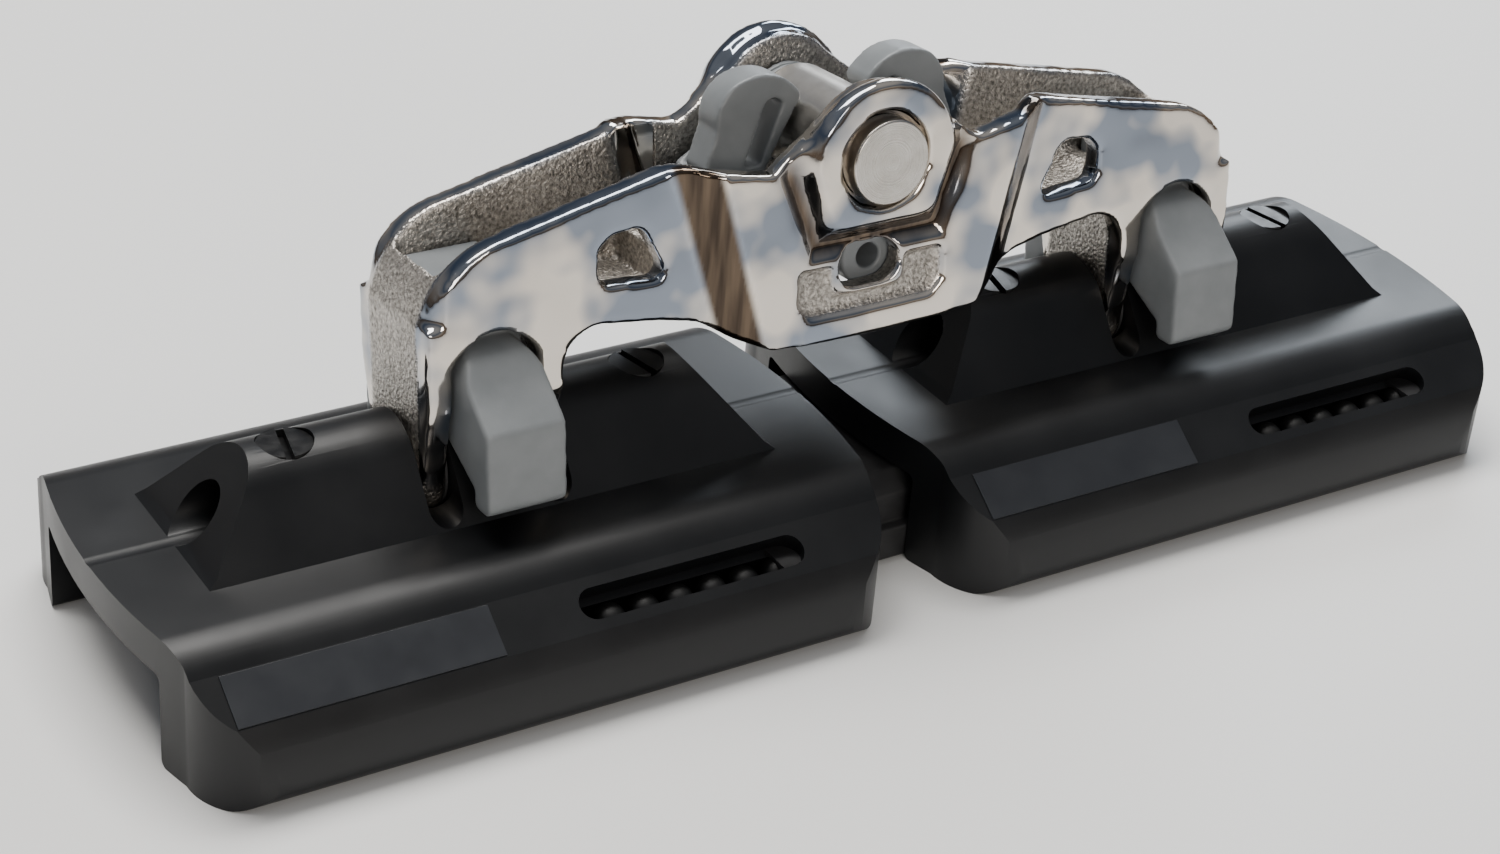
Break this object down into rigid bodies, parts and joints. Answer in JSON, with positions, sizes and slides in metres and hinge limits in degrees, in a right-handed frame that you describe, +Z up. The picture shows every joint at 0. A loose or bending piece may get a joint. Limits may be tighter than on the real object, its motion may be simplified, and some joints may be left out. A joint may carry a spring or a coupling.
{
  "type": "tandem mast track car",
  "caption": "Tandem ball-bearing sail track car: low cars joined by a swinging cast yoke with a cross pin, webbing guides and saddles.",
  "frame": {"origin": "midway between the cars, on the centre line, at the cars' bottom edges", "axes": "+X along the track, +Y across the track, +Z up from the track towards the cross pin"},
  "size_m": [0.2334, 0.0736, 0.0763],
  "materials": {
    "black_anodised": "satin black hard anodised",
    "polished_casting": "mirror polished stainless casting, as-cast grain inside",
    "turned_steel": "fine turned stainless",
    "black_screw": "blackened set screw",
    "grey_plastic": "moulded grey plastic, faint sheen",
    "black_plastic": "extruded black plastic",
    "ball_plastic": "smooth dark bearing balls",
    "bush_plastic": "black bearing plastic",
    "label_film": "plain dark film label with no print"
  },
  "bodies": {
    "left_car": {"left_car_body": "black_anodised", "left_ball_guides": "black_plastic", "left_front_balls": "ball_plastic", "left_back_balls": "ball_plastic", "left_pivot_pin": "turned_steel", "left_set_screws": "black_screw", "left_label": "label_film"},
    "right_car": {"right_car_body": "black_anodised", "right_ball_guides": "black_plastic", "right_front_balls": "ball_plastic", "right_back_balls": "ball_plastic", "right_pivot_pin": "turned_steel", "right_set_screws": "black_screw", "right_label": "label_film"},
    "loader": {"loader_rail": "black_plastic"},
    "yoke": {"yoke": "polished_casting", "lashing_bobbin": "grey_plastic", "left_saddle": "grey_plastic", "right_saddle": "grey_plastic", "left_outer_bush": "bush_plastic", "right_outer_bush": "bush_plastic", "left_inner_bush": "bush_plastic", "right_inner_bush": "bush_plastic"},
    "pin": {"cross_pin": "turned_steel", "pin_retaining_ring": "turned_steel"},
    "roller": {"webbing_roller": "turned_steel"},
    "left_guide": {"left_webbing_guide": "grey_plastic"},
    "right_guide": {"right_webbing_guide": "grey_plastic"}
  },
  "joints": [
    {"name": "yoke_swing", "type": "hinge", "parent": "left_car", "child": "yoke", "pos_m": [0, 0, 0.0246], "axis": [1, 0, 0], "range_deg": [0, 12.9]},
    {"name": "right_car_swing", "type": "hinge", "parent": "yoke", "child": "right_car", "pos_m": [0, 0, 0.0246], "axis": [1, 0, 0], "range_deg": [-13, 0.1]},
    {"name": "loader_slide", "type": "slide", "parent": "left_car", "child": "loader", "axis": [1, 0, 0], "range_m": [-0.2, 0.2]},
    {"name": "cross_pin_spin", "type": "hinge", "parent": "yoke", "child": "pin", "pos_m": [0, 0.00434, 0.06265], "axis": [0, 0.9936, -0.1132], "continuous": true},
    {"name": "roller_spin", "type": "hinge", "parent": "yoke", "child": "roller", "pos_m": [0, 0.00434, 0.06265], "axis": [0, 0.9936, -0.1132], "continuous": true},
    {"name": "left_guide_tilt", "type": "hinge", "parent": "yoke", "child": "left_guide", "pos_m": [0, 0.00434, 0.06265], "axis": [0, 0.9936, -0.1132], "range_deg": [0, 12]},
    {"name": "right_guide_tilt", "type": "hinge", "parent": "yoke", "child": "right_guide", "pos_m": [0, 0.00434, 0.06265], "axis": [0, 0.9936, -0.1132], "range_deg": [-12, 0]}
  ],
  "couplings": [
    {"joint": "right_car_swing", "follows": "yoke_swing", "ratio": -1}
  ]
}
